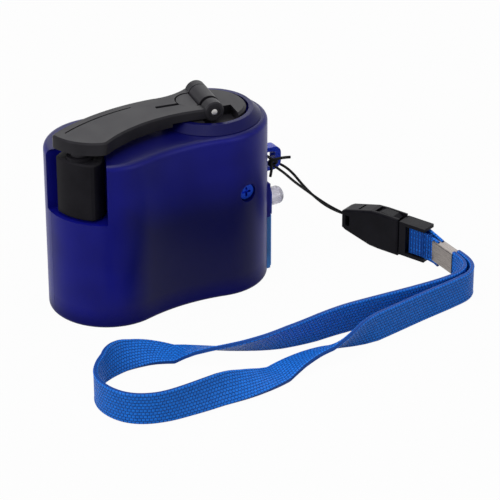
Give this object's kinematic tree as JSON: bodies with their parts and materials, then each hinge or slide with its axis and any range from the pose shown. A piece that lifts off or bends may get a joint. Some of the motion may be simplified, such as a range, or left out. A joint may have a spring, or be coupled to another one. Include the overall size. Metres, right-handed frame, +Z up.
{
  "type": "hand crank phone charger",
  "caption": "Pocket hand-crank charger with a folding crank and knob, translucent two-lobe housing, lamp end with an output socket, and a wrist strap on a cord and side-release buckle.",
  "frame": {"origin": "on the flat base, at the middle of the housing's figure-of-eight plan", "axes": "+Z up out of the base, +X from the knob end to the lamp end, -Y towards the front face"},
  "size_m": [0.1149, 0.0782, 0.0544],
  "materials": {
    "blue_shell": "translucent dark blue moulding, satin outside",
    "blue_eyelet": "bright translucent blue moulding",
    "navy_panel": "navy moulding, satin",
    "sky_panel": "sky blue moulding, satin",
    "black_plastic": "fine satin black",
    "knob_plastic": "smooth black",
    "bright_steel": "turned steel, light polish",
    "socket_steel": "bright plated sheet",
    "plate_steel": "dull plated sheet",
    "screw_steel": "dark plated steel",
    "gear_white": "off-white acetal",
    "gear_brass": "plain brass",
    "bush_bronze": "dull bronze",
    "magnet_grey": "dark grey ferrite",
    "core_iron": "stacked iron sheet",
    "copper_wire": "enamelled copper winding",
    "board_green": "solder-masked board",
    "sleeve_black": "black sleeve",
    "socket_insert": "black insulating insert",
    "clear_lens": "clear moulded lens",
    "cord_black": "thin black braided cord",
    "webbing_blue": "blue woven webbing",
    "crimp_steel": "folded plated sheet"
  },
  "bodies": {
    "housing": {"front_shell": "blue_shell", "rear_shell": "blue_shell", "lamp_panel": "navy_panel", "socket_panel": "sky_panel", "socket_jacket": "socket_steel", "socket_tongue": "socket_insert", "lamps": "clear_lens", "lanyard_loop": "blue_eyelet", "shell_screw": "screw_steel", "upper_gear_plate": "plate_steel", "lower_gear_plate": "plate_steel", "plate_pillars": "bright_steel", "spindle_bush": "bush_bronze", "idler_axles": "bright_steel", "generator_can": "plate_steel", "stator_core": "core_iron", "stator_coils": "copper_wire", "rotor_bushes": "bush_bronze", "circuit_board": "board_green", "storage_capacitors": "sleeve_black", "rectifier_diodes": "sleeve_black", "lanyard_cord": "cord_black", "lanyard_return": "cord_black", "cord_knot": "cord_black", "buckle_socket": "black_plastic"},
    "crank": {"crank_hub": "black_plastic", "crank_spindle": "bright_steel", "drive_gear": "gear_white"},
    "arm": {"crank_arm": "black_plastic", "hinge_pin": "bright_steel", "knob_spindle": "bright_steel"},
    "grip_knob": {"knob": "knob_plastic"},
    "first_stage": {"first_idler": "gear_brass"},
    "second_stage": {"second_idler": "gear_white"},
    "rotor": {"rotor_shaft": "bright_steel", "rotor_magnet": "magnet_grey", "rotor_pinion": "gear_brass"},
    "strap_end": {"buckle_insert": "black_plastic", "strap_fold": "webbing_blue", "strap_crimp": "crimp_steel", "wrist_strap": "webbing_blue"}
  },
  "joints": [
    {"name": "first_idler_turn", "type": "hinge", "parent": "housing", "child": "first_stage", "pos_m": [0.0029, 0, 0.039], "axis": [0, 0, -1], "continuous": true},
    {"name": "crank_turn", "type": "hinge", "parent": "housing", "child": "crank", "pos_m": [0.0159, 0, 0.046], "axis": [0, 0, 1], "continuous": true},
    {"name": "second_idler_turn", "type": "hinge", "parent": "housing", "child": "second_stage", "pos_m": [0.0159, 0, 0.037], "axis": [0, 0, 1], "continuous": true},
    {"name": "rotor_turn", "type": "hinge", "parent": "housing", "child": "rotor", "pos_m": [0.0029, 0, 0.03], "axis": [0, 0, 1], "continuous": true},
    {"name": "crank_fold", "type": "hinge", "parent": "crank", "child": "arm", "pos_m": [0.01462, 0.00023, 0.0515], "axis": [0.1736, 0.9848, 0], "range_deg": [0, 180]},
    {"name": "knob_spin", "type": "hinge", "parent": "arm", "child": "grip_knob", "pos_m": [-0.02547, -0.005, 0.039], "axis": [0, 0, 1], "continuous": true},
    {"name": "buckle_release", "type": "slide", "parent": "housing", "child": "strap_end", "axis": [0.3633, -0.9317, 0], "range_m": [0, 0.014]}
  ],
  "couplings": [
    {"joint": "crank_turn", "follows": "first_idler_turn", "ratio": 0.44444},
    {"joint": "second_idler_turn", "follows": "first_idler_turn", "ratio": 3.3333},
    {"joint": "rotor_turn", "follows": "first_idler_turn", "ratio": -11.111}
  ]
}
